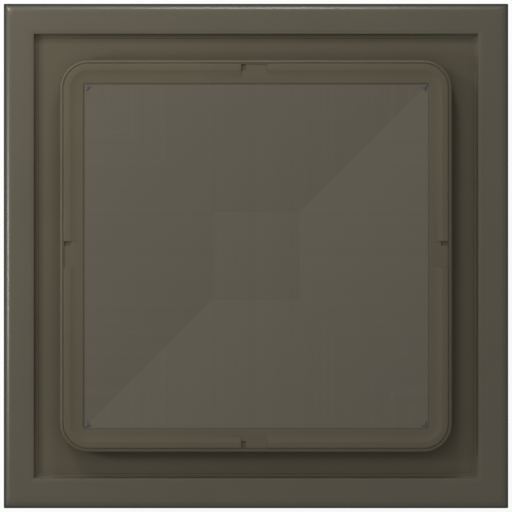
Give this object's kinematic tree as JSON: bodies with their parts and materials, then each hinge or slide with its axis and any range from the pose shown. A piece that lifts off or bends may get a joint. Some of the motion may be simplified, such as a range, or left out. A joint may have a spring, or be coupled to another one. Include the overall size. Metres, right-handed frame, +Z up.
{
  "type": "roof vent cover",
  "caption": "Square roof vent cover with a raised rim, a recessed field and a rounded square lid that hinges open, lifted by a hidden crank, worm gear and roller arms.",
  "frame": {"origin": "centre of the roof opening, on the roof surface under the flange", "axes": "+Z up, away from the roof; +Y towards the lid's hinge; +X along the hinge axis"},
  "size_m": [0.46, 0.46, 0.112],
  "materials": {
    "field_plastic": "satin, moulded dark olive bronze",
    "rim_plastic": "satin, moulded dark olive bronze",
    "lid_plastic": "satin, moulded dark olive bronze",
    "pane_plastic": "smoked satin plastic",
    "dark_clip": "matte",
    "black_plastic": "matte",
    "white_plastic": "satin, off-white",
    "knob_plastic": "satin, off-white",
    "nylon": "natural nylon",
    "butyl": "tacky matte tape",
    "seal_rubber": "matte",
    "screen_mesh": "woven glass-fibre mesh",
    "stainless": "brushed",
    "galvanised": "zinc coated",
    "zinc_steel": "bright zinc",
    "worm_steel": "cut steel",
    "spring_steel": "oiled black"
  },
  "bodies": {
    "base": {"base_frame": "field_plastic", "flange_gasket": "butyl", "rim_trim": "rim_plastic", "trim_clips": "black_plastic", "lid_seal": "seal_rubber", "base_hinge_leaves": "stainless", "hinge_pins": "stainless", "base_leaf_screws": "zinc_steel", "operator_crossbar": "galvanised", "crossbar_screws": "zinc_steel", "operator_housing": "white_plastic", "operator_cover": "white_plastic", "operator_screws": "zinc_steel", "housing_screws": "zinc_steel", "worm_bushes": "nylon", "shaft_bushes": "nylon", "screen_frame": "white_plastic", "insect_screen": "screen_mesh", "screen_grommet": "white_plastic", "ceiling_garnish": "white_plastic"},
    "lid": {"lid_frame": "lid_plastic", "lid_pane": "pane_plastic", "pane_seal": "seal_rubber", "corner_clips": "dark_clip", "lid_hinge_leaves": "stainless", "lid_leaf_screws": "zinc_steel", "lift_tracks": "galvanised"},
    "lift": {"arm_shaft": "zinc_steel", "worm_gear": "nylon", "lift_arms": "galvanised", "arm_clips": "spring_steel", "roller_axle": "zinc_steel", "axle_clips": "spring_steel"},
    "rollers": {"rollers": "nylon"},
    "crank": {"crank_shaft": "zinc_steel", "worm": "worm_steel", "thrust_washers": "zinc_steel", "crank_knob": "knob_plastic", "knob_screw": "zinc_steel"}
  },
  "joints": [
    {"name": "lid_hinge", "type": "hinge", "parent": "base", "child": "lid", "pos_m": [0, 0.17, 0.014], "axis": [-1, 0, 0], "range_deg": [0, 50]},
    {"name": "arm_pivot", "type": "hinge", "parent": "base", "child": "lift", "pos_m": [0, 0.024, -0.01757], "axis": [-1, 0, 0], "range_deg": [0, 100]},
    {"name": "crank_turn", "type": "hinge", "parent": "base", "child": "crank", "pos_m": [0, 0, -0.05], "axis": [0, 0, -1], "range_deg": [0, 2400]},
    {"name": "roller_spin", "type": "hinge", "parent": "lift", "child": "rollers", "pos_m": [0, -0.12399, 0.00271], "axis": [1, 0, 0], "continuous": true}
  ],
  "couplings": [
    {"joint": "arm_pivot", "follows": "lid_hinge", "ratio": 2},
    {"joint": "crank_turn", "follows": "lid_hinge", "ratio": 48}
  ]
}
